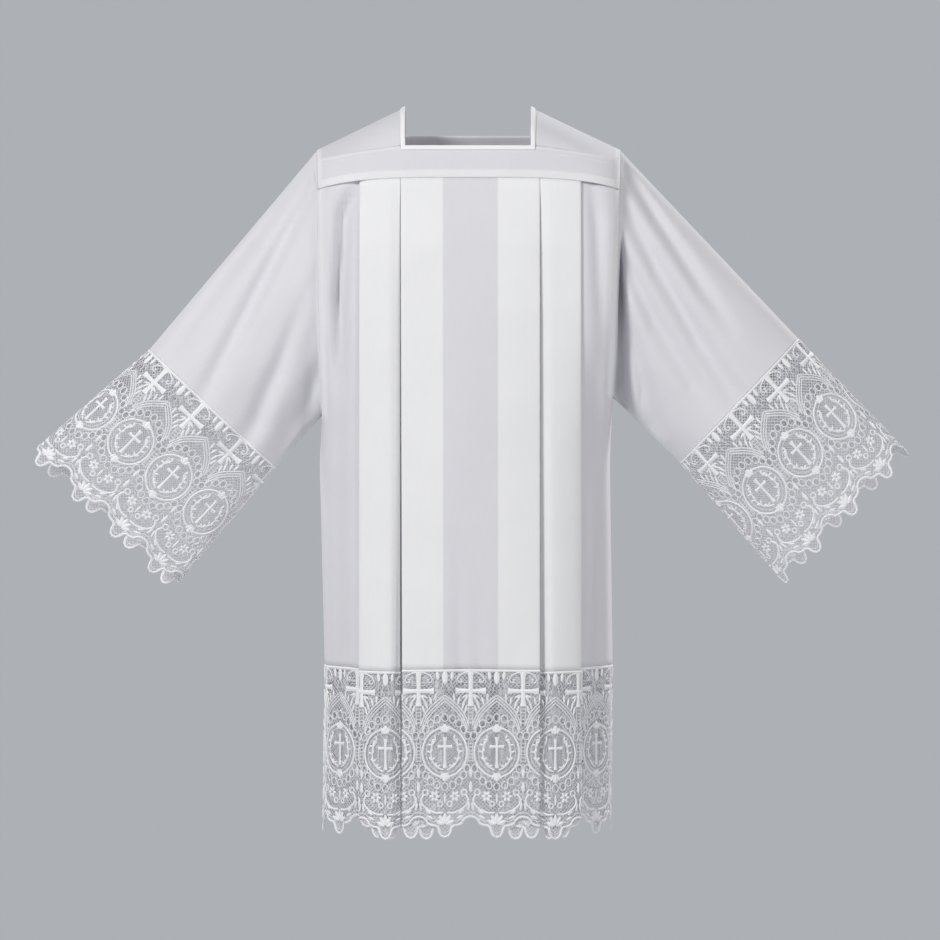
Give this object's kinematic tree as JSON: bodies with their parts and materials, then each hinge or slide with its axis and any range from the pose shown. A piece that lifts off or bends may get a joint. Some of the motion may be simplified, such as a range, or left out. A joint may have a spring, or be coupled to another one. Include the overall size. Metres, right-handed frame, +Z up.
{
  "type": "pleated surplice with lace hem and cuffs",
  "caption": "White pleated surplice with a square neck, yoke, straight sleeves and deep scalloped lace at hem and cuffs, in its hollow worn form",
  "frame": {"origin": "midway between the shoulders, level with the top of the neck opening, where the wearer's shoulders hold the garment", "axes": "+Z up, the front of the garment faces -Y, the sleeves reach along -X and +X"},
  "size_m": [1.2717, 0.2978, 1.0604],
  "materials": {
    "cloth": "fine plain-woven white cotton blend, matt, slightly sheer",
    "yoke": "the same cloth, double and topstitched, matt",
    "binding": "folded edge of white cotton, several layers, matt",
    "lace": "white machine guipure and net lace, matt thread"
  },
  "bodies": {
    "root": {"front_panel": "cloth", "back_panel": "cloth", "sleeve_left": "cloth", "sleeve_right": "cloth", "front_yoke": "yoke", "back_yoke": "yoke", "shoulder_left": "yoke", "shoulder_right": "yoke", "neck_binding": "binding", "hem_lace_front": "lace", "hem_lace_back": "lace", "cuff_lace_left_front": "lace", "cuff_lace_left_back": "lace", "cuff_lace_right_front": "lace", "cuff_lace_right_back": "lace"}
  },
  "joints": []
}
